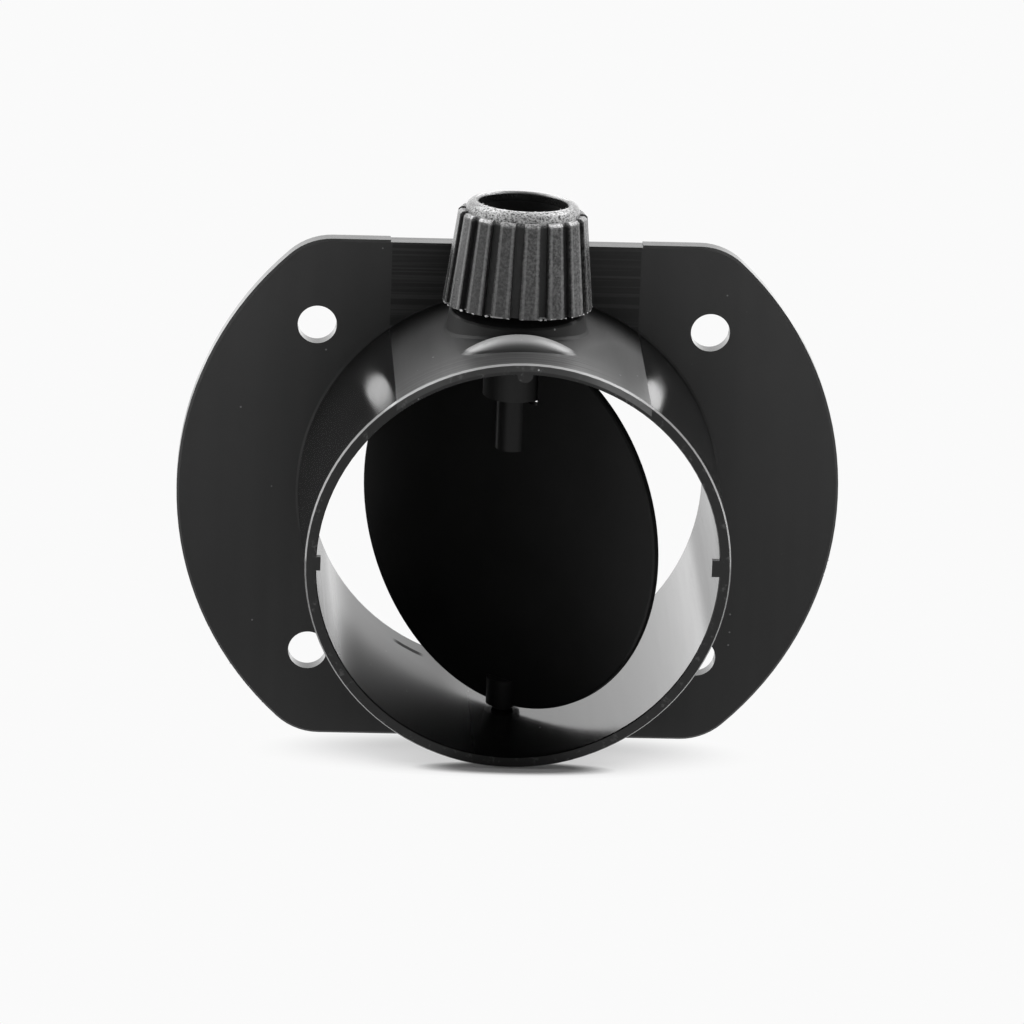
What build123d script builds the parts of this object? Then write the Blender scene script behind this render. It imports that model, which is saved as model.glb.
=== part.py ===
from build123d import *
import os
from math import cos, radians, sin, sqrt, tan

# Duct connector with a valve: a flanged spigot for a hose, with a round flap inside that a knob turns.
# Millimetres. The origin is on the duct axis at the flange's back face, the spigot points along -Y and the
# knob along +Z.

# Spigot and the short collar behind the flange
spigot_diameter = 60.0
spigot_reach = 35.8
spigot_draft = 0.4
spigot_wall = 1.65
spigot_root_chamfer = 0.3
collar_diameter = 59.8
collar_length = 4.5

# Lead-ins turned on the outer and inner edge of the rim
rim_lead_length = 0.5
rim_lead_drop = 0.25
mouth_lead_length = 0.3
mouth_lead_drop = 0.12

# Flange
flange_diameter = 95.3
flange_height = 74.8
flange_thickness = 2.3
flange_corner_radius = 9.0
flange_edge_chamfer = 0.35
screw_hole_diameter = 5.6
screw_spacing_x = 56.3
screw_spacing_z = 49.3

# Band of the flange that the mould's upper slide forms: a little proud in front and a little lower on top
slide_band_width = 36.0
slide_band_side_draft = 2.0
slide_band_proud = 0.15
slide_band_drop = 0.2

# Valve axis, boss under the knob and bushing inside the spigot
valve_axis_x = -0.35
valve_axis_y = -14.5
boss_rise = 1.4
boss_top_diameter = 19.2
boss_side_draft = 8.0
boss_foot_chamfer = 0.3
boss_edge_chamfer = 0.25
bushing_diameter = 8.9
bushing_reach = 9.5

# Crescent lug that holds the hose, on the crown of the spigot
lug_reach = 13.2
lug_height = 1.6
lug_half_width = 8.2
lug_round = 2.8

# Spindle that joins the knob to the flap
spindle_diameter = 6.1
spindle_flat_width = 4.4
spindle_in_knob = 3.8
tang_width = 3.3
tang_thickness = 1.7
tang_length = 4.0
running_clearance = 0.05

# Flap, drawn as it stands at rest
flap_angle = -44.0
flap_thickness = 1.3
flap_gap = 0.65
flap_edge_chamfer = 0.25
flap_boss_diameter = 4.8
flap_boss_length = 7.5
foot_boss_length = 3.9
pivot_pin_diameter = 3.0
pivot_pin_setback = 0.3
bushing_end_gap = 0.5
bushing_side_gap = 0.55

# Knob, pushed on the spindle, where it sits a little askew
knob_diameter = 21.27
knob_taper = 6.5
knob_height = 14.7
knob_gap = 0.9
knob_lean_back = 4.2
knob_lean_right = 1.6
knob_socket_play = 0.4
rib_count = 16
rib_phase = 6.2
rib_end_setback = 1.4
rib_end_chamfer = 0.35
rib_edge_round = 0.2
groove_width = 1.3
groove_depth = 1.0
shoulder_round = 1.2
hollow_diameter = 12.8
hollow_depth = 9.5
hollow_lip_chamfer = 0.3

# Gate stubs left inside the front rim: a half-round one on top and a square one on each side
gate_depth = 1.0
top_gate_radius = 1.1
right_gate_reach = 1.1
right_gate_height = 2.4
right_gate_z = 0.4
left_gate_reach = 0.6
left_gate_height = 2.0

# Sizes that follow
rim_radius = spigot_diameter / 2
root_radius = rim_radius + spigot_reach * tan(radians(spigot_draft))
bore_radius = rim_radius - spigot_wall
flange_radius = flange_diameter / 2
flange_top = flange_height / 2
boss_top = rim_radius + boss_rise
boss_radius = boss_top_diameter / 2
bushing_radius = bushing_diameter / 2
bushing_end = bore_radius - bushing_reach
spindle_radius = spindle_diameter / 2
flap_radius = bore_radius - flap_gap
flap_boss_top = bushing_end - bushing_end_gap
knob_radius = knob_diameter / 2
knob_base = boss_top + knob_gap
pivot_pin_end = -rim_radius + pivot_pin_setback
valve_axis = Axis((valve_axis_x, valve_axis_y, 0), (0, 0, 1))
side_plane = Plane(origin=(valve_axis_x, valve_axis_y, 0), x_dir=(0, 1, 0), z_dir=(1, 0, 0))


def level(z):
    """Horizontal plane at height z with its origin on the valve axis."""
    return Plane.XY.offset(z).shift_origin((valve_axis_x, valve_axis_y, z))


# Body: flange, spigot, rear collar, boss and bushing in one moulding
with BuildPart() as body:
    with BuildSketch(Plane.XZ) as flange_outline:
        Circle(flange_radius)
        Rectangle(flange_diameter, flange_height, mode=Mode.INTERSECT)
        fillet(flange_outline.vertices(), flange_corner_radius)
    extrude(amount=flange_thickness)
    chamfer(body.faces().sort_by(Axis.Y)[0].edges(), flange_edge_chamfer)

    # The slide's band, proud of the face and cut a little lower along the top edge
    band_spread = flange_top * tan(radians(slide_band_side_draft))
    with BuildSketch(Plane.XZ):
        with BuildLine():
            Polyline(
                (-slide_band_width / 2 + band_spread, 0),
                (-slide_band_width / 2, flange_top),
                (slide_band_width / 2, flange_top),
                (slide_band_width / 2 - band_spread, 0),
                close=True,
            )
        make_face()
    extrude(amount=flange_thickness + slide_band_proud)
    with BuildSketch(Plane.XZ):
        with Locations((0, flange_top)):
            Rectangle(slide_band_width, 2 * slide_band_drop)
    extrude(amount=flange_thickness + slide_band_proud, mode=Mode.SUBTRACT)

    # Spigot and rear collar turned about the duct axis
    root_foot_radius = root_radius + spigot_root_chamfer
    with BuildSketch(Plane.XY):
        with BuildLine():
            Polyline(
                (0, collar_length),
                (collar_diameter / 2, collar_length),
                (collar_diameter / 2, 0),
                (root_foot_radius, 0),
                (root_foot_radius, -flange_thickness),
                (root_radius, -flange_thickness - spigot_root_chamfer),
                (rim_radius, -spigot_reach + rim_lead_length),
                (rim_radius - rim_lead_drop, -spigot_reach),
                (0, -spigot_reach),
                close=True,
            )
        make_face()
    revolve(axis=Axis.Y)

    # Boss with a chamfered foot on the spigot
    with BuildSketch(side_plane) as boss_profile:
        with BuildLine():
            Polyline(
                (0, 0),
                (0, boss_top),
                (boss_radius, boss_top),
                (boss_radius + boss_top * tan(radians(boss_side_draft)), 0),
                close=True,
            )
        make_face()
        chamfer(boss_profile.vertices().group_by(Axis.Y)[-1].sort_by(Axis.X)[-1], boss_edge_chamfer)
    revolve(axis=valve_axis)
    boss_foot = body.edges(Select.LAST).filter_by(GeomType.BSPLINE)
    chamfer(boss_foot, boss_foot_chamfer)

    # Lug in front of the boss: a round bead on an arch tighter than the spigot, so its ends run out
    crown = rim_radius + (spigot_reach + valve_axis_y - lug_reach) * tan(radians(spigot_draft))
    lug_top = crown + lug_height
    lug_side_drop = lug_top - sqrt(crown**2 - lug_half_width**2)
    lug_arch_radius = (lug_half_width**2 + lug_side_drop**2) / (2 * lug_side_drop)
    with BuildSketch(side_plane):
        with Locations((-lug_reach, lug_top - lug_round)):
            Circle(lug_round)
    revolve(axis=Axis((valve_axis_x, 0, lug_top - lug_arch_radius), (0, 1, 0)))

    # Bore of the duct, then the bushing that reaches down into it
    with BuildSketch(Plane.XY):
        with BuildLine():
            Polyline(
                (0, collar_length),
                (bore_radius, collar_length),
                (bore_radius, -spigot_reach + mouth_lead_length),
                (bore_radius + mouth_lead_drop, -spigot_reach),
                (0, -spigot_reach),
                close=True,
            )
        make_face()
    revolve(axis=Axis.Y, mode=Mode.SUBTRACT)
    with BuildSketch(level(bushing_end)):
        Circle(bushing_radius)
    extrude(amount=rim_radius - bushing_end)
    with Locations(level(boss_top)):
        Hole(spindle_radius + running_clearance, depth=boss_top - bushing_end)
    with Locations(level(-bore_radius + spigot_wall)):
        Hole(pivot_pin_diameter / 2 + running_clearance, depth=3 * spigot_wall)

    with Locations(Plane.XZ.offset(flange_thickness)):
        with GridLocations(screw_spacing_x, screw_spacing_z, 2, 2):
            Hole(screw_hole_diameter / 2, depth=flange_thickness)

    # Gate stubs flush with the rim, rooted in the middle of the wall
    gate_root = bore_radius + spigot_wall / 2
    right_gate_length = gate_root - bore_radius + right_gate_reach
    left_gate_length = gate_root - bore_radius + left_gate_reach
    with BuildSketch(Plane.XZ.offset(spigot_reach)):
        with Locations((0, bore_radius)):
            Circle(top_gate_radius)
        with Locations((gate_root, right_gate_z)):
            Rectangle(right_gate_length, right_gate_height, align=(Align.MAX, Align.CENTER))
        with Locations((-gate_root, 0)):
            Rectangle(left_gate_length, left_gate_height, align=(Align.MIN, Align.CENTER))
    extrude(amount=-gate_depth)
body.part.label = "body"

# Flap: disc notched round the bushing, with a boss for the spindle and a pivot pin below
flap_plane = Plane(
    origin=(valve_axis_x, valve_axis_y, 0),
    x_dir=(cos(radians(flap_angle)), sin(radians(flap_angle)), 0),
    z_dir=(sin(radians(flap_angle)), -cos(radians(flap_angle)), 0),
)
with BuildPart() as flap:
    with BuildSketch(flap_plane):
        Circle(flap_radius)
        with Locations((0, flap_boss_top + flap_radius / 2)):
            Rectangle(2 * (bushing_radius + bushing_side_gap), flap_radius, mode=Mode.SUBTRACT)
    extrude(amount=flap_thickness / 2, both=True)
    chamfer(flap.edges().filter_by(GeomType.CIRCLE), flap_edge_chamfer)
    with BuildSketch(level(flap_boss_top)):
        Circle(flap_boss_diameter / 2)
    extrude(amount=-flap_boss_length)
    with BuildSketch(level(-flap_radius)):
        Circle(flap_boss_diameter / 2)
    extrude(amount=foot_boss_length)
    with BuildSketch(level(pivot_pin_end)):
        Circle(pivot_pin_diameter / 2)
    extrude(amount=-flap_radius - pivot_pin_end)
    with BuildSketch(level(flap_boss_top)):
        Rectangle(tang_width, tang_thickness, rotation=flap_angle)
    extrude(amount=-tang_length, mode=Mode.SUBTRACT)
flap.part.label = "flap"

# Spindle: round in the bushing, flat-sided in the knob, with a tang in the flap's boss
with BuildPart() as spindle:
    with BuildSketch(level(flap_boss_top)):
        Circle(spindle_radius)
    extrude(amount=boss_top - flap_boss_top)
    with BuildSketch(level(boss_top)):
        Circle(spindle_radius)
        Rectangle(spindle_flat_width, spindle_diameter, rotation=flap_angle, mode=Mode.INTERSECT)
    extrude(amount=knob_gap + spindle_in_knob)
    with BuildSketch(level(flap_boss_top)):
        Rectangle(tang_width, tang_thickness, rotation=flap_angle)
    extrude(amount=-tang_length)
spindle.part.label = "spindle"

# Knob, drawn upright about its own axis: fluted cone over a plain core with a rounded shoulder
knob_slope = tan(radians(knob_taper))
rib_end = knob_height - rib_end_setback
rib_end_radius = knob_radius - rib_end * knob_slope
core_radius = knob_radius - groove_depth
core_top_radius = core_radius - knob_height * knob_slope
groove_step = 360 / rib_count
groove_start = -90 + rib_phase + groove_step / 2

# One groove, cut along the slope: its mouth flares out, which leaves the ribs with rounded edges
groove_half = groove_width / 2
mouth_half = groove_half + rib_edge_round
groove_plane = Plane(origin=(knob_radius, 0, 0), x_dir=(0, 1, 0), z_dir=(-knob_slope, 0, 1))
with BuildPart() as groove:
    with BuildSketch(groove_plane):
        with BuildLine():
            mouth = Line((mouth_half, -rib_edge_round), (mouth_half, 0))
            edge = RadiusArc(mouth @ 1, (groove_half, rib_edge_round), rib_edge_round)
            Polyline(edge @ 1, (groove_half, 2 * groove_depth), (0, 2 * groove_depth))
            mirror(about=Plane.YZ)
            Line((mouth_half, -rib_edge_round), (-mouth_half, -rib_edge_round))
        make_face()
    extrude(amount=2 * knob_height)

with BuildPart() as knob:
    with BuildSketch(Plane.XZ):
        with BuildLine():
            Polyline(
                (0, 0),
                (knob_radius, 0),
                (rib_end_radius, rib_end),
                (0, rib_end),
                close=True,
            )
        make_face()
    revolve(axis=Axis.Z)
    chamfer(knob.edges().group_by(Axis.Z)[-1], rib_end_chamfer)
    with PolarLocations(0, rib_count, start_angle=groove_start):
        add(groove.part, mode=Mode.SUBTRACT)
    with BuildSketch(Plane.XZ):
        with BuildLine():
            Polyline(
                (0, 0),
                (core_radius, 0),
                (core_top_radius, knob_height),
                (0, knob_height),
                close=True,
            )
        make_face()
    revolve(axis=Axis.Z)
    fillet(knob.edges().group_by(Axis.Z)[-1], shoulder_round)
    with BuildSketch(Plane.XY.offset(knob_height)):
        Circle(hollow_diameter / 2)
    extrude(amount=-hollow_depth, mode=Mode.SUBTRACT)
    hollow_lip = knob.edges().filter_by(GeomType.CIRCLE).group_by(Axis.Z)[-1].sort_by(SortBy.RADIUS)[0]
    chamfer(hollow_lip, hollow_lip_chamfer)
    with BuildSketch(Plane.XY):
        Circle(spindle_radius + knob_socket_play)
        Rectangle(
            spindle_flat_width + 2 * knob_socket_play,
            spindle_diameter + 2 * knob_socket_play,
            rotation=flap_angle,
            mode=Mode.INTERSECT,
        )
    extrude(amount=spindle_in_knob + knob_socket_play, mode=Mode.SUBTRACT)
knob_seat = Plane(
    origin=(valve_axis_x, valve_axis_y, knob_base),
    x_dir=(cos(radians(knob_lean_right)), 0, -sin(radians(knob_lean_right))),
    z_dir=(sin(radians(knob_lean_right)), sin(radians(knob_lean_back)), cos(radians(knob_lean_right))),
)
seated_knob = knob_seat.location * knob.part
seated_knob.label = "knob"

os.makedirs("parts", exist_ok=True)
export_step(body.part, "parts/body.step")
export_step(flap.part, "parts/flap.step")
export_step(spindle.part, "parts/spindle.step")
export_step(seated_knob, "parts/knob.step")
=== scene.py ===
from math import atan2, cos, radians, sin, tan

import bpy
from mathutils import Matrix, Vector


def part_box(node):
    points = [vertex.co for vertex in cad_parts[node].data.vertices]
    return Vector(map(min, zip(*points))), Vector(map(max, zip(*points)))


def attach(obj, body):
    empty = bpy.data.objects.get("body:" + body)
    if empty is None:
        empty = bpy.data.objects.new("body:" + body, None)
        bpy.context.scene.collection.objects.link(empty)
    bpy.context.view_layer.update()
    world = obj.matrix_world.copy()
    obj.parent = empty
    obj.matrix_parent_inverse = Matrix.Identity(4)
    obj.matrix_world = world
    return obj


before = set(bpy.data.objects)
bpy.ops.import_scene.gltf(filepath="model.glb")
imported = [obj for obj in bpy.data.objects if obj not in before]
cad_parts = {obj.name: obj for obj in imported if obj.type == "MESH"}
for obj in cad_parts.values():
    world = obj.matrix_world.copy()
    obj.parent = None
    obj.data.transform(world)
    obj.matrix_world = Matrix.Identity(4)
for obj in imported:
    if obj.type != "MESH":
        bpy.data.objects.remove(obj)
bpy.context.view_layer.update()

# All lengths are in metres, in the connector's own frame: the duct axis lies along Y, the spigot points
# to -Y and the valve's axis stands along Z
MM = 0.001

# Sizes of the body that its finish follows
spigot_radius = 30.0 * MM
inner_wall_limit = 28.9 * MM
flange_front = -2.3 * MM
flange_radius = 47.65 * MM
slide_half_width = 17.8 * MM
seam_half_width = 17.4 * MM
seam_width = 0.12 * MM
lug_y = -27.7 * MM
lug_foot = 30.2 * MM
boss_reach = 15.0 * MM
valve_axis_x = -0.35 * MM
valve_axis_y = -14.5 * MM

# Sizes of the knob, which leans to the right and to the back
knob_seat = Vector((valve_axis_x, valve_axis_y, 32.3 * MM))
knob_lean_right = radians(1.6)
knob_lean_back = radians(4.2)
knob_axis = Vector((sin(knob_lean_right), sin(knob_lean_back), cos(knob_lean_right))).normalized()
knob_right = Vector((cos(knob_lean_right), 0, -sin(knob_lean_right)))
knob_back = knob_axis.cross(knob_right)
knob_base_radius = 10.63 * MM
knob_lip_radius = 6.5 * MM
knob_height = 14.7 * MM
knob_taper = radians(6.5)
rib_step = radians(22.5)
rib_start = radians(-6.2)
rib_edge = 0.275
rib_edge_width = 0.12

# Camera: where it stands, how it is turned, and its lens and film in millimetres
camera_place = Vector((-67.4, -1231.8, 410.2)) * MM
camera_yaw = radians(3.17)
camera_pitch = radians(-18.55)
camera_roll = radians(2.17)
camera_lens = 317.2
camera_film = 36.0
camera_nearest = 0.05
camera_farthest = 50.0

# The connector lies on its rim and the lower edge of its flange, so the floor leans in its frame
body_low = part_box("body")[0]
rim_front = body_low.y
floor_lean = atan2(-spigot_radius - body_low.z, flange_front - rim_front)
floor_gap = 0.05 * MM
floor_size = 8.0
floor_up = Vector((0, sin(floor_lean), cos(floor_lean)))
floor_back = Vector((0, cos(floor_lean), -sin(floor_lean)))
floor_right = Vector((1, 0, 0))
floor_point = Vector((0, rim_front, -spigot_radius)) - floor_up * floor_gap


def on_floor(right, back, up):
    """A point given by its distances right, back and up from where the rim touches the floor."""
    return floor_point + floor_right * right + floor_back * back + floor_up * up


def turn_to_floor():
    """Rotation of a plane that lies level with the floor."""
    return Matrix((floor_right, floor_back, floor_up)).transposed().to_euler()


def grey(level):
    return (level, level, level, 1.0)


class Finish:
    """A material under a plain name, with short ways to add and join its nodes."""

    def __init__(self, name):
        self.material = bpy.data.materials.new(name)
        self.material.use_nodes = True
        self.tree = self.material.node_tree
        self.skin = self.tree.nodes["Principled BSDF"]
        self.output = self.tree.nodes["Material Output"]

    def add(self, kind, **settings):
        node = self.tree.nodes.new("ShaderNode" + kind)
        for name, value in settings.items():
            setattr(node, name, value)
        return node

    def feed(self, socket, value):
        """A number, colour or vector is set on the socket, another socket is joined to it."""
        if isinstance(value, bpy.types.NodeSocket):
            self.tree.links.new(value, socket)
        else:
            socket.default_value = value

    def paint(self, colour, roughness, normal):
        for name, value in (("Base Color", colour), ("Roughness", roughness), ("Normal", normal)):
            self.feed(self.skin.inputs[name], value)

    def math(self, operation, first, second=0.0, third=0.0):
        node = self.add("Math", operation=operation)
        for socket, value in zip(node.inputs, (first, second, third)):
            self.feed(socket, value)
        return node.outputs[0]

    def times(self, first, *others):
        """The product of two or more factors."""
        for other in others:
            first = self.math("MULTIPLY", first, other)
        return first

    def rest(self, factor):
        """What a factor leaves of 1."""
        return self.math("SUBTRACT", 1.0, factor)

    def length(self, first, second):
        """Length of a line that has these two parts at right angles."""
        return self.math("SQRT", self.math("ADD", self.times(first, first), self.times(second, second)))

    def step(self, value, start, end):
        """0 below start, 1 above end and smooth between them; start may lie above end."""
        node = self.add("MapRange", interpolation_type="SMOOTHSTEP")
        for name, number in zip(("Value", "From Min", "From Max"), (value, start, end)):
            self.feed(node.inputs[name], number)
        return node.outputs[0]

    def band(self, value, middle, width):
        """1 at the middle value, falling to 0 at half the width to either side."""
        return self.step(self.math("ABSOLUTE", self.math("SUBTRACT", value, middle)), width / 2, width / 4)

    def between(self, factor, low, high):
        """A number that runs from low to high as the factor runs from 0 to 1."""
        node = self.add("Mix", data_type="FLOAT")
        for socket, value in zip((node.inputs[0], node.inputs[2], node.inputs[3]), (factor, low, high)):
            self.feed(socket, value)
        return node.outputs[0]

    def blend(self, factor, low, high):
        """A colour that runs from low to high as the factor runs from 0 to 1."""
        node = self.add("Mix", data_type="RGBA")
        for socket, value in zip((node.inputs[0], node.inputs[6], node.inputs[7]), (factor, low, high)):
            self.feed(socket, value)
        return node.outputs[2]

    def mottled(self, pattern, dark, light):
        """A grey that runs from dark to light with a pattern."""
        return self.blend(pattern, grey(dark), grey(light))

    def place(self):
        return self.add("TexCoord").outputs["Object"]

    def split(self, place):
        node = self.add("SeparateXYZ")
        self.feed(node.inputs[0], place)
        return node.outputs

    def from_point(self, place, point):
        node = self.add("VectorMath", operation="SUBTRACT")
        self.feed(node.inputs[0], place)
        self.feed(node.inputs[1], point)
        return node.outputs[0]

    def along(self, place, side):
        """How far a place reaches along a direction."""
        node = self.add("VectorMath", operation="DOT_PRODUCT")
        self.feed(node.inputs[0], place)
        self.feed(node.inputs[1], side)
        return node.outputs["Value"]

    def noise(self, place, scale, detail=4.0, roughness=0.55):
        """Cloudy variation, with a scale along each axis in features per metre."""
        stretched = self.add("Mapping")
        self.feed(stretched.inputs["Vector"], place)
        self.feed(stretched.inputs["Scale"], scale)
        node = self.add("TexNoise")
        self.feed(node.inputs["Vector"], stretched.outputs[0])
        for name, number in (("Scale", 1.0), ("Detail", detail), ("Roughness", roughness)):
            self.feed(node.inputs[name], number)
        return node.outputs["Fac"]

    def specks(self, place, per_metre, size, sparse):
        """Round specks scattered one to a cell, with all but the rarest cells left empty."""
        node = self.add("TexVoronoi")
        self.feed(node.inputs["Vector"], place)
        self.feed(node.inputs["Scale"], per_metre)
        chosen = self.step(self.split(node.outputs["Color"])[0], sparse, sparse + 0.02)
        return self.times(self.step(node.outputs["Distance"], size, size * 0.6), chosen)

    def patch(self, place, centre, half_sizes):
        """1 in the middle of an oval that is laid out in X and Y, and 0 from its edge on."""
        node = self.add("Mapping", vector_type="TEXTURE")
        self.feed(node.inputs["Vector"], place)
        self.feed(node.inputs["Location"], (*centre, 0.0))
        self.feed(node.inputs["Scale"], (*half_sizes, 1000.0))
        reach = self.add("VectorMath", operation="LENGTH")
        self.feed(reach.inputs[0], node.outputs[0])
        return self.step(reach.outputs["Value"], 1.0, 0.45)

    def bump(self, height, distance, normal=None):
        node = self.add("Bump")
        self.feed(node.inputs["Height"], height)
        self.feed(node.inputs["Distance"], distance)
        if normal is not None:
            self.feed(node.inputs["Normal"], normal)
        return node.outputs[0]


# Patterns on the body, in features per metre along X, Y and Z
body_patterns = {
    "cloud": (90, 90, 90),
    "streaks": (420, 40, 12),
    "flange_lines": (20, 20, 2700),
    "crown_lines": (25, 1900, 25),
    "wall_scores": (900, 45, 900),
    "grain": (3000, 3000, 3000),
    "scuffs": (800, 800, 800),
}

# Where each of the body's surfaces begins and where it is there in full
body_fades = {
    "above": (0.0, 1.0 * MM),
    "spigot": (flange_front - 0.2 * MM, flange_front - 0.4 * MM),
    "inside": (inner_wall_limit + 0.1 * MM, inner_wall_limit - 0.1 * MM),
    "rim": (rim_front + 0.08 * MM, rim_front + 0.03 * MM),
    # where the painted highlight on the rim's outer edge lies
    "rim_highlight": (rim_front + 0.5 * MM, rim_front + 0.4 * MM),
    "near_rim": (rim_front + 9.0 * MM, rim_front + 5.0 * MM),
    "slide": (slide_half_width + 0.1 * MM, slide_half_width - 0.1 * MM),
    "flange_edge": (0.6, 0.3),
    "flange_face": (-1.0 * MM, -1.8 * MM),
    # painted light: the flange grows paler from here toward its top
    "upper_flange_light": (-25.0 * MM, 30.0 * MM),
    "left_wall": (-2.0 * MM, -10.0 * MM),
    "low_wall": (-11.0 * MM, -19.0 * MM),
    "bore_bottom": (-18.0 * MM, -20.0 * MM),
    # where the painted sheen on the crown grows: across, to the front and to the right
    "crown_sides": (4.0 * MM, 15.0 * MM),
    "crown_front": (-2.0 * MM, -26.0 * MM),
    "crown_right": (-12.0 * MM, 12.0 * MM),
    # where the painted highlight on the lug lies
    "lug_top": (lug_foot, lug_foot + 0.3 * MM),
    "lug_front": (lug_y - 2.4 * MM, lug_y - 1.2 * MM),
    "lug_back": (lug_y + 1.4 * MM, lug_y + 0.2 * MM),
    "flange_lines": (0.46, 0.66),
    "crown_lines": (0.4, 0.6),
    "scuffs": (0.56, 0.68),
}

# The mould's witness line in the bore: middle and width along X and along Y
witness_x = (-13.5 * MM, 4.8 * MM)
witness_y = (0.0, 1.7 * MM)

# Roughness of the body's surfaces; a pair runs with a pattern
body_roughness = {
    "flange": 0.44,
    "flange_edge": 0.2,
    "sides": 0.15,
    "slide": 0.38,
    "boss": 0.7,
    "wall": (0.15, 0.23),
    "lower_left_wall": 0.42,
    "bushing": 0.65,
    "witness": 1.0,
    "rim": 0.46,
    "streaks": (-0.08, 0.08),
}

# Greys of the body's surfaces; a pair runs with the cloud pattern
body_greys = {
    "plain": (0.003, 0.006),
    "sides": (0.007, 0.013),
    # painted light on the upper flange
    "upper_flange_light": (0.019, 0.027),
    "flange_lines": 0.02,
    # painted sheen on the crown
    "crown_sheen": 0.1,
    # painted highlight on the lug
    "lug": 0.3,
    # painted highlight on the rim's outer edge
    "rim_highlight": 0.34,
    "wear_and_highlight": 0.08,
    "dust": 0.35,
}

# How strongly the body's marks show, from one end of their surface to the other
# Painted sheen on the crown: fainter in the middle, stronger to the right, and in the lines near the rim
sheen_across = (0.35, 1.0)
sheen_to_right = (0.5, 2.0)
sheen_in_lines = (0.45, 1.2)
# Painted highlight on the rim's edge: stronger at the top, varied by the cloud
rim_highlight_to_top = (0.3, 1.0)
rim_highlight_in_cloud = (0.5, 1.2)
rubbed_strength = 0.6
dust_to_crown = (0.4, 1.0)
dust_per_metre, dust_size, dust_sparse = 420, 0.07, 0.7
body_specular = 0.4
line_depth = 0.014 * MM
smooth_depth = 0.003 * MM


class BodySurfaces:
    """The patterns on the body, and how far a point of it belongs to each surface, from 0 to 1."""

    def __init__(self, finish):
        self.finish = finish
        self.spot = finish.place()
        x, y, z = finish.split(self.spot)
        across = finish.math("ABSOLUTE", x)
        radius = finish.length(x, z)
        normal = finish.split(finish.add("NewGeometry").outputs["Normal"])
        facing_front = finish.math("ABSOLUTE", normal[1])
        boss = finish.patch(self.spot, (valve_axis_x, valve_axis_y), (boss_reach, boss_reach))

        self.above = self.fade(z, "above")
        self.inside = self.fade(radius, "inside")
        self.outside = finish.rest(self.inside)
        self.spigot = self.fade(y, "spigot")
        self.off_spigot = finish.rest(self.spigot)
        self.rim = self.fade(y, "rim")
        self.near_rim = self.fade(y, "near_rim")
        self.slide = finish.times(self.fade(across, "slide"), self.above)
        self.boss = finish.times(boss, self.above)
        self.flange_edge = finish.times(self.fade(facing_front, "flange_edge"), self.off_spigot)
        self.lower_left = finish.times(self.fade(x, "left_wall"), self.fade(z, "low_wall"))
        self.witness = finish.times(
            finish.band(x, *witness_x), finish.band(y, *witness_y), self.fade(z, "bore_bottom")
        )

        self.sides = finish.times(finish.math("SUBTRACT", self.spigot, self.rim), self.outside)
        flange_beside_slide = finish.math("SUBTRACT", self.off_spigot, self.slide)
        # Painted light: the flange beside the slide grows paler toward its top
        upper_flange_light = finish.times(self.fade(z, "upper_flange_light"), flange_beside_slide)
        self.upper_flange_light = finish.math("MAXIMUM", upper_flange_light, 0.0)
        self.flange_slide = finish.times(self.slide, self.off_spigot, self.fade(y, "flange_face"))
        self.spigot_slide = finish.times(self.slide, self.spigot)
        self.crown = finish.times(self.spigot_slide, self.outside)
        # Painted sheen on the crown, stronger toward its sides, its front and its right, and none on the boss
        self.crown_sheen = finish.times(
            self.crown,
            finish.between(self.fade(across, "crown_sides"), *sheen_across),
            self.fade(y, "crown_front"),
            finish.rest(self.boss),
            finish.between(self.fade(x, "crown_right"), *sheen_to_right),
        )
        # Painted highlight: a pale band along the top of the lug
        self.lug = finish.times(
            self.fade(radius, "lug_top"), self.above, self.fade(y, "lug_front"), self.fade(y, "lug_back")
        )
        # Painted highlight along the rim's outer edge, stronger at the top
        self.rim_highlight = finish.times(
            self.fade(y, "rim_highlight"),
            finish.rest(self.rim),
            self.outside,
            finish.between(self.above, *rim_highlight_to_top),
        )
        self.seam = finish.times(
            finish.band(across, seam_half_width, seam_width),
            self.above,
            finish.math("SUBTRACT", self.spigot, self.inside),
        )

        self.cloud = self.pattern("cloud")
        self.flange_lines = self.pattern("flange_lines", detail=2.0)
        self.crown_lines = self.pattern("crown_lines", detail=2.0)
        self.wall_scores = self.pattern("wall_scores", detail=3.0)

    def fade(self, value, surface):
        return self.finish.step(value, *body_fades[surface])

    def pattern(self, name, **settings):
        return self.finish.noise(self.spot, body_patterns[name], **settings)


def shade_body(finish, on):
    """Satin flange and rim, glossy sides and bore."""
    level = body_roughness
    flange = finish.between(on.flange_edge, level["flange"], level["flange_edge"])
    sides = finish.between(on.spigot, flange, level["sides"])
    slide = finish.between(on.spigot, flange, level["slide"])
    outside = finish.between(on.boss, finish.between(on.slide, sides, slide), level["boss"])
    wall = finish.between(on.wall_scores, *level["wall"])
    wall = finish.between(on.lower_left, wall, level["lower_left_wall"])
    wall = finish.between(on.boss, wall, level["bushing"])
    wall = finish.between(on.witness, wall, level["witness"])
    surface = finish.between(on.rim, finish.between(on.inside, outside, wall), level["rim"])
    streaks = finish.between(on.pattern("streaks", detail=3.0), *level["streaks"])
    return finish.math("ADD", surface, finish.times(streaks, on.outside))


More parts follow.
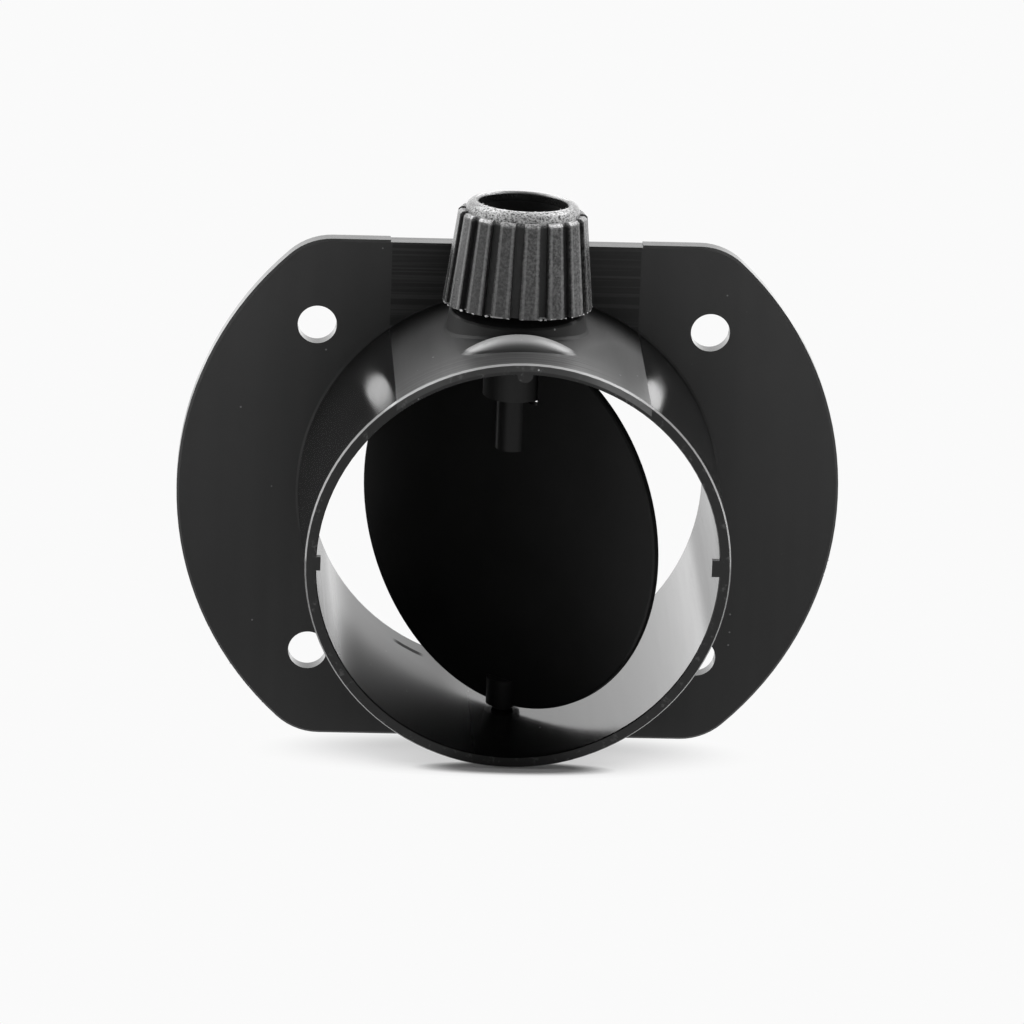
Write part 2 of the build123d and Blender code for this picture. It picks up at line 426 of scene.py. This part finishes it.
def colour_body(finish, on):
    """Black, with painted light: the upper flange paler toward its top, a painted sheen on the crown and painted
    highlights on the lug and the rim's edge; with worn places and dust.
    """
    level = body_greys
    colour = finish.mottled(on.cloud, *level["plain"])
    colour = finish.blend(on.sides, colour, finish.mottled(on.cloud, *level["sides"]))
    # Painted light: the upper flange paler
    colour = finish.blend(on.upper_flange_light, colour, finish.mottled(on.cloud, *level["upper_flange_light"]))

    flange_lines = finish.times(on.flange_slide, on.fade(on.flange_lines, "flange_lines"))
    colour = finish.blend(flange_lines, colour, grey(level["flange_lines"]))
    # Painted sheen on the crown, broken into the tooling lines near the rim
    crown_lines = finish.between(on.fade(on.crown_lines, "crown_lines"), *sheen_in_lines)
    crown_sheen = finish.times(on.crown_sheen, finish.between(on.near_rim, 1.0, crown_lines))
    colour = finish.blend(crown_sheen, colour, grey(level["crown_sheen"]))
    # Painted highlight on the lug
    colour = finish.blend(on.lug, colour, grey(level["lug"]))
    # Painted highlight on the rim's outer edge
    rim_highlight = finish.times(on.rim_highlight, finish.between(on.cloud, *rim_highlight_in_cloud))
    colour = finish.blend(rim_highlight, colour, grey(level["rim_highlight"]))

    scuffs = on.fade(on.pattern("scuffs", detail=6.0, roughness=0.7), "scuffs")
    wear_and_highlight = finish.math("MAXIMUM", finish.times(scuffs, on.rim), finish.times(scuffs, on.seam))
    colour = finish.blend(finish.times(wear_and_highlight, rubbed_strength), colour, grey(level["wear_and_highlight"]))
    dust = finish.specks(on.spot, dust_per_metre, dust_size, dust_sparse)
    dust = finish.times(dust, finish.between(on.crown, *dust_to_crown))
    return finish.blend(dust, colour, grey(level["dust"]))


def grain_body(finish, on):
    """Fine lines where the mould's slide shut, scores along the bore and a faint grain on all of it."""
    flange = finish.bump(finish.times(on.flange_lines, on.flange_slide), line_depth)
    crown = finish.bump(finish.times(on.crown_lines, on.spigot_slide, on.near_rim), line_depth, flange)
    walls = finish.bump(finish.times(on.wall_scores, on.inside), smooth_depth, crown)
    return finish.bump(on.pattern("grain", detail=2.0), smooth_depth, walls)


def body_plastic():
    """Black moulded plastic, with a lined band where the mould's slide shut."""
    finish = Finish("body_plastic_moulded")
    on = BodySurfaces(finish)
    finish.paint(colour_body(finish, on), shade_body(finish, on), grain_body(finish, on))
    finish.feed(finish.skin.inputs["Specular IOR Level"], body_specular)
    return finish.material


# The smooth plastic of the flap and the spindle
smooth_cloud = (120, 120, 120)
smooth_grain = (2500, 2500, 2500)
smooth_grey = (0.006, 0.01)
smooth_roughness = (0.32, 0.42)
smooth_specular = 0.15


def smooth_plastic():
    """Smooth black plastic, a little cloudy."""
    finish = Finish("flap_plastic_smooth")
    place = finish.place()
    cloud = finish.noise(place, smooth_cloud)
    grain = finish.noise(place, smooth_grain, detail=2.0)
    finish.paint(
        finish.mottled(cloud, *smooth_grey),
        finish.between(cloud, *smooth_roughness),
        finish.bump(grain, smooth_depth),
    )
    finish.feed(finish.skin.inputs["Specular IOR Level"], smooth_specular)
    return finish.material


# Patterns on the knob, in features per metre along X, Y and Z
knob_patterns = {
    "cloud": (300, 300, 120),
    "grain": (2600, 2600, 2600),
    "fray": (3000, 3000, 4200),
    "chips": (500, 500, 500),
}

# Where each part of the knob's surface begins and where it is there in full
knob_fades = {
    "below_rib_ends": (13.4 * MM, 13.2 * MM),
    "groove": (10.4 * MM, 9.9 * MM),
    "land": (9.9 * MM, 10.3 * MM),
    # where the painted highlights on the shoulder and the far lip are strongest: at the sides and at the front
    "sides": (1.5 * MM, 4.5 * MM),
    "front": (-1.0 * MM, -6.0 * MM),
    # painted light: the knob's pale grain grows paler from its left to its right
    "lit_to_right": (-9.0 * MM, 7.0 * MM),
    "shoulder": (12.5 * MM, 13.5 * MM),
    "base_edge": (0.22 * MM, 0.06 * MM),
    # where the painted highlight on the far lip lies
    "lip_top": (14.45 * MM, 14.6 * MM),
    "lip_back": (1.0 * MM, 3.0 * MM),
    "lip": (7.1 * MM, 6.8 * MM),
    "hollow": (knob_lip_radius + 0.1 * MM, knob_lip_radius - 0.1 * MM),
    "grain": (0.35, 0.7),
    "fray": (0.36, 0.6),
    "chips": (0.5, 0.58),
}

# Greys of the knob's surfaces; a pair runs with a pattern
knob_greys = {
    "dark_grain": (0.016, 0.03),
    "light_grain": (0.05, 0.12),
    # painted shade in the grooves
    "groove": (0.012, 0.035),
    # painted highlight on the rib edges
    "rib_edge": 0.2,
    # painted highlight on the shoulder
    "shoulder": 0.68,
    # painted highlight on the far lip
    "far_lip_highlight": 0.6,
    "hollow": (0.008, 0.025),
    "base_edge": 0.4,
}

# How strongly the knob's marks show, from one end of their surface to the other
# Painted highlights on the rib edges, the shoulder and the far lip: how they follow the grain, the sides and the
# front
rib_edge_in_grain = (0.2, 0.8)
shoulder_to_sides = (0.8, 1.0)
shoulder_to_front = (0.2, 1.0)
lip_to_sides = (0.3, 0.9)
knob_land_roughness = (0.22, 0.32)
knob_groove_roughness = 0.6
knob_grain_depth = 0.035 * MM
knob_fray_depth = 0.05 * MM


def knob_plastic():
    """Black plastic with the texture of a spark-eroded mould; painted highlights on the rib edges, on the shoulder
    in a fray pattern and on the far lip, painted shade in the grooves, and the grain painted paler toward the
    right.
    """
    finish = Finish("knob_plastic_textured")
    place = finish.place()

    def fade(value, surface):
        return finish.step(value, *knob_fades[surface])

    from_seat = finish.from_point(place, knob_seat)
    right, back, height = (finish.along(from_seat, side) for side in (knob_right, knob_back, knob_axis))
    reach = finish.length(right, back)
    reach_at_base = finish.math("MULTIPLY_ADD", height, tan(knob_taper), reach)
    turn = finish.math("SUBTRACT", finish.math("ARCTAN2", right, back), rib_start)
    in_pitch = finish.math("FRACT", finish.math("DIVIDE", turn, rib_step))
    from_middle = finish.math("ABSOLUTE", finish.math("SUBTRACT", in_pitch, 0.5))

    below_rib_ends = fade(height, "below_rib_ends")
    in_groove = finish.times(fade(reach_at_base, "groove"), below_rib_ends)
    on_land = finish.times(fade(reach_at_base, "land"), below_rib_ends)
    on_rib_edge = finish.times(finish.band(from_middle, rib_edge, rib_edge_width), on_land)
    on_shoulder = fade(height, "shoulder")
    on_far_lip = finish.times(fade(height, "lip_top"), fade(back, "lip_back"), fade(reach, "lip"))
    at_sides = fade(finish.math("ABSOLUTE", right), "sides")

    cloud = finish.noise(place, knob_patterns["cloud"])
    grain = finish.noise(place, knob_patterns["grain"], detail=3.0)
    fray = finish.noise(place, knob_patterns["fray"], detail=4.0, roughness=0.7)
    chips = finish.noise(place, knob_patterns["chips"])

    level = knob_greys
    dark = finish.mottled(cloud, *level["dark_grain"])
    # Painted light: the pale grain paler toward the right
    light = finish.mottled(fade(right, "lit_to_right"), *level["light_grain"])
    colour = finish.blend(fade(grain, "grain"), dark, light)
    # Painted shade: the grooves darker
    colour = finish.blend(in_groove, colour, finish.mottled(grain, *level["groove"]))
    # Painted highlight along the rib edges, broken by the grain
    wear_and_highlight = finish.times(on_rib_edge, finish.between(grain, *rib_edge_in_grain))
    colour = finish.blend(wear_and_highlight, colour, grey(level["rib_edge"]))
    # Painted highlight on the shoulder, in the fray pattern, stronger at the sides and the front
    shoulder_highlight = finish.times(
        on_shoulder,
        fade(fray, "fray"),
        finish.between(at_sides, *shoulder_to_sides),
        finish.between(fade(back, "front"), *shoulder_to_front),
    )
    colour = finish.blend(shoulder_highlight, colour, grey(level["shoulder"]))
    # Painted highlight on the far lip, stronger at the sides
    far_lip_highlight = finish.times(on_far_lip, finish.between(at_sides, *lip_to_sides))
    colour = finish.blend(far_lip_highlight, colour, grey(level["far_lip_highlight"]))
    colour = finish.blend(fade(reach, "hollow"), colour, finish.mottled(grain, *level["hollow"]))
    chipped = finish.times(fade(height, "base_edge"), fade(chips, "chips"))
    colour = finish.blend(chipped, colour, grey(level["base_edge"]))

    land_roughness = finish.between(cloud, *knob_land_roughness)
    roughness = finish.between(in_groove, land_roughness, knob_groove_roughness)
    coarse = finish.bump(finish.times(fray, on_shoulder), knob_fray_depth)
    finish.paint(colour, roughness, finish.bump(grain, knob_grain_depth, coarse))
    return finish.material


torn_fibres = (2500, 2500, 2500)
torn_grey = (0.3, 0.9)
torn_roughness = (0.35, 0.6)
torn_depth = 0.03 * MM


def torn_plastic():
    """Pale torn edges of moulding flash."""
    finish = Finish("torn_plastic_flash")
    fibres = finish.noise(finish.place(), torn_fibres, detail=3.0)
    finish.paint(
        finish.mottled(fibres, *torn_grey),
        finish.between(fibres, *torn_roughness),
        finish.bump(fibres, torn_depth),
    )
    return finish.material


def dress(node, material):
    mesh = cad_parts[node].data
    mesh.materials.clear()
    mesh.materials.append(material)


dress("body", body_plastic())
smooth_material = smooth_plastic()
dress("flap", smooth_material)
dress("knob", knob_plastic())
dress("spindle", smooth_material)

# Three flakes of flash are modelled, each from a seed, and copied
flake_seeds = (3, 7, 12)
flake_shape = (1.0, 0.5, 0.35)
flake_ruffle = 0.16


def flash_flake(seed):
    """One torn scrap of flash, a flattened and ruffled bead one unit long."""
    bpy.ops.object.select_all(action="DESELECT")
    bpy.ops.mesh.primitive_ico_sphere_add(subdivisions=2, radius=0.5)
    bpy.ops.object.mode_set(mode="EDIT")
    bpy.ops.mesh.select_all(action="SELECT")
    bpy.ops.transform.resize(value=flake_shape)
    bpy.ops.transform.vertex_random(offset=flake_ruffle, uniform=0.0, normal=0.0, seed=seed)
    bpy.ops.mesh.normals_make_consistent(inside=False)
    bpy.ops.object.mode_set(mode="OBJECT")
    return bpy.context.object


def strew_flash(name, body, spots, material):
    """Copies of the flakes set on their spots and joined to one piece; a spot is a point, a size and a turn."""
    patterns = [flash_flake(seed) for seed in flake_seeds]
    bpy.ops.object.select_all(action="DESELECT")
    for number, (point, size, turn) in enumerate(spots):
        flake = patterns[number % len(patterns)].copy()
        flake.data = flake.data.copy()
        flake.matrix_world = Matrix.Translation(point) @ Matrix.Rotation(turn, 4, "Z") @ Matrix.Scale(size, 4)
        bpy.context.scene.collection.objects.link(flake)
        flake.select_set(True)
        bpy.context.view_layer.objects.active = flake
    bpy.ops.object.join()
    bpy.ops.object.transform_apply(location=True, rotation=True, scale=True)
    flash = bpy.context.object
    flash.name = name
    flash.data.materials.append(material)
    for pattern in patterns:
        bpy.data.objects.remove(pattern)
    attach(flash, body)


def on_knob(turn, reach, height):
    """A point on the knob, turned from its front to the viewer's right."""
    return knob_seat + knob_right * reach * sin(turn) - knob_back * reach * cos(turn) + knob_axis * height


# Flash on the knob's base edge: degrees from the front and size in millimetres
base_flash = (
    (-70, 0.3), (-51, 0.45), (-44, 0.2), (-39, 0.35), (-27, 0.45), (-22, 0.3), (-10, 0.3), (1, 0.25), (15, 0.45),
    (19, 0.3), (24, 0.25), (33, 0.25), (37, 0.3), (44, 0.25), (53, 0.25), (59, 0.3), (66, 0.25), (73, 0.3),
)
base_flash_scale = 1.4
base_flash_sunk = 0.03 * MM
base_flash_height = 0.04 * MM

# Flash along the knob's lip: how many, how far round to either side of the front, and how they vary
lip_flash_count = 44
lip_flash_half_turn = 80
lip_flash_size = 0.2
lip_flash_size_waves = ((0.12, 2.3), (0.06, 5.1))
lip_flash_sway, lip_flash_sway_pace = 0.25 * MM, 1.7
lip_flash_turn = 1.1
lip_flash_sunk = 0.1 * MM


def trim_knob(material):
    """Specks of flash round the knob's base edge and along its lip."""
    spots = []
    for degrees, size in base_flash:
        angle = radians(degrees)
        point = on_knob(angle, knob_base_radius - base_flash_sunk, base_flash_height)
        spots.append((point, size * base_flash_scale * MM, angle))
    for number in range(lip_flash_count):
        along = 2 * number / (lip_flash_count - 1) - 1
        waves = sum(height * sin(number * pace) for height, pace in lip_flash_size_waves)
        reach = knob_lip_radius + lip_flash_sway * sin(number * lip_flash_sway_pace)
        point = on_knob(radians(lip_flash_half_turn * along), reach, knob_height - lip_flash_sunk)
        spots.append((point, (lip_flash_size + waves) * MM, number * lip_flash_turn))
    strew_flash("knob_flash", "valve", spots, material)


# Flash on the flange's edge, at the right and along the lower left: how many, first angle and step in degrees
flange_flash = ((8, -14.5, 0.42), (18, 203.0, 1.3))
flange_flash_size = 0.32
flange_flash_size_wave, flange_flash_size_pace = 0.14, 1.9
flange_flash_turn = 1.3
flange_flash_sunk = 0.08 * MM
flange_flash_behind = 0.4 * MM


def trim_flange(material):
    """Rags of flash on the flange's rounded edge."""
    angles = [radians(first + step * place) for count, first, step in flange_flash for place in range(count)]
    spots = []
    for number, angle in enumerate(angles):
        size = flange_flash_size + flange_flash_size_wave * sin(number * flange_flash_size_pace)
        point = Vector((cos(angle), 0, sin(angle))) * (flange_radius - flange_flash_sunk)
        point.y = flange_front + flange_flash_behind
        spots.append((point, size * MM, number * flange_flash_turn))
    strew_flash("flange_flash", "housing", spots, material)


flash_material = torn_plastic()
trim_knob(flash_material)
trim_flange(flash_material)

# Paper on the floor: its white, its grey in the shadow, and the centre, half sizes and depth of the two shadows
paper_white = 0.957
paper_grey = 0.92
body_shadow = ((0.0, -20.0 * MM), (38.0 * MM, 27.0 * MM))
body_shadow_depth = 0.42
rim_shadow = ((0.5 * MM, rim_front + 1.0 * MM), (18.0 * MM, 9.0 * MM))
rim_shadow_depth = 0.97


def paper_floor():
    """White paper that keeps the shadow near the connector and runs out to plain white; from below it is clear."""
    finish = Finish("floor_paper")
    finish.tree.nodes.remove(finish.skin)

    def mix(factor, first, second):
        node = finish.add("MixShader")
        for socket, value in zip(node.inputs, (factor, first, second)):
            finish.feed(socket, value)
        return node.outputs[0]

    rays = finish.add("LightPath").outputs
    seen = finish.math("MAXIMUM", rays["Is Camera Ray"], rays["Is Glossy Ray"])
    seen = finish.math("MAXIMUM", seen, rays["Is Transmission Ray"])
    place = finish.place()
    under_body = finish.times(finish.patch(place, *body_shadow), body_shadow_depth)
    under_rim = finish.times(finish.patch(place, *rim_shadow), rim_shadow_depth)
    beside_shadow = finish.rest(finish.math("MAXIMUM", under_body, under_rim))
    paper = finish.add("BsdfDiffuse")
    finish.feed(paper.inputs["Color"], grey(paper_grey))
    white = finish.add("Emission")
    finish.feed(white.inputs["Strength"], paper_white)
    clear = finish.add("BsdfTransparent")
    from_above = mix(finish.times(seen, beside_shadow), paper.outputs[0], white.outputs[0])
    from_below = finish.add("NewGeometry").outputs["Backfacing"]
    finish.feed(finish.output.inputs["Surface"], mix(from_below, from_above, clear.outputs[0]))
    return finish.material


def lay_floor():
    bpy.ops.object.select_all(action="DESELECT")
    bpy.ops.mesh.primitive_plane_add(size=floor_size, location=on_floor(0, 0, 0), rotation=turn_to_floor())
    floor = bpy.context.object
    floor.name = "floor"
    bpy.ops.object.transform_apply(location=True, rotation=True, scale=True)
    floor.data.materials.append(paper_floor())


# Lamps: where they hang over the floor and their power in watts; they aim at the middle of the connector
softboxes = (
    ("softbox_left", (-0.5, 0.22, 0.9), 7.0),
    ("softbox_right", (0.54, 0.24, 0.88), 9.2),
)
softbox_aim = (0, 0.02, 0.03)
softbox_width = 0.5

# The room is bright behind and below the connector, and dark above and before it, a little to the right
room_dark_side = (floor_up - floor_back + floor_right * 0.3).normalized()
room_levels = {"From Min": -0.3, "From Max": 0.3, "To Min": 2.0, "To Max": 0.2}


def hang_softbox(name, place, aim, watts):
    lamp = bpy.data.lights.new(name, "AREA")
    lamp.shape = "RECTANGLE"
    lamp.size = softbox_width
    lamp.size_y = softbox_width
    lamp.energy = watts
    box = bpy.data.objects.new(name, lamp)
    box.location = place
    box.rotation_euler = (aim - place).to_track_quat("-Z", "Y").to_euler()
    box.visible_camera = False
    bpy.context.scene.collection.objects.link(box)


def light_room():
    """A softbox at the upper left and one at the upper right, both a little behind, in a room lit from behind."""
    for name, place, watts in softboxes:
        hang_softbox(name, on_floor(*place), on_floor(*softbox_aim), watts)
    world = bpy.data.worlds.new("room")
    world.use_nodes = True
    bpy.context.scene.world = world
    nodes, links = world.node_tree.nodes, world.node_tree.links
    direction = nodes.new("ShaderNodeTexCoord").outputs["Generated"]
    to_dark_side = nodes.new("ShaderNodeVectorMath")
    to_dark_side.operation = "DOT_PRODUCT"
    to_dark_side.inputs[1].default_value = room_dark_side
    links.new(direction, to_dark_side.inputs[0])
    level = nodes.new("ShaderNodeMapRange")
    for name, number in room_levels.items():
        level.inputs[name].default_value = number
    links.new(to_dark_side.outputs["Value"], level.inputs["Value"])
    background = nodes["Background"]
    background.inputs["Color"].default_value = grey(1.0)
    links.new(level.outputs[0], background.inputs["Strength"])


def stand_camera():
    """The camera in its place, turned by its yaw, pitch and roll."""
    level_forward = Vector((sin(camera_yaw), cos(camera_yaw), 0))
    forward = level_forward * cos(camera_pitch) + Vector((0, 0, sin(camera_pitch)))
    level_right = Vector((cos(camera_yaw), -sin(camera_yaw), 0))
    level_up = level_right.cross(forward)
    right = level_right * cos(camera_roll) + level_up * sin(camera_roll)
    up = level_up * cos(camera_roll) - level_right * sin(camera_roll)
    camera = bpy.data.cameras.new("camera")
    camera.sensor_width = camera_film
    camera.lens = camera_lens
    camera.clip_start = camera_nearest
    camera.clip_end = camera_farthest
    stand = bpy.data.objects.new("camera", camera)
    stand.matrix_world = Matrix.Translation(camera_place) @ Matrix((right, up, -forward)).transposed().to_4x4()
    bpy.context.scene.collection.objects.link(stand)
    bpy.context.scene.camera = stand


lay_floor()
light_room()
stand_camera()
bpy.context.scene.view_settings.view_transform = "Standard"
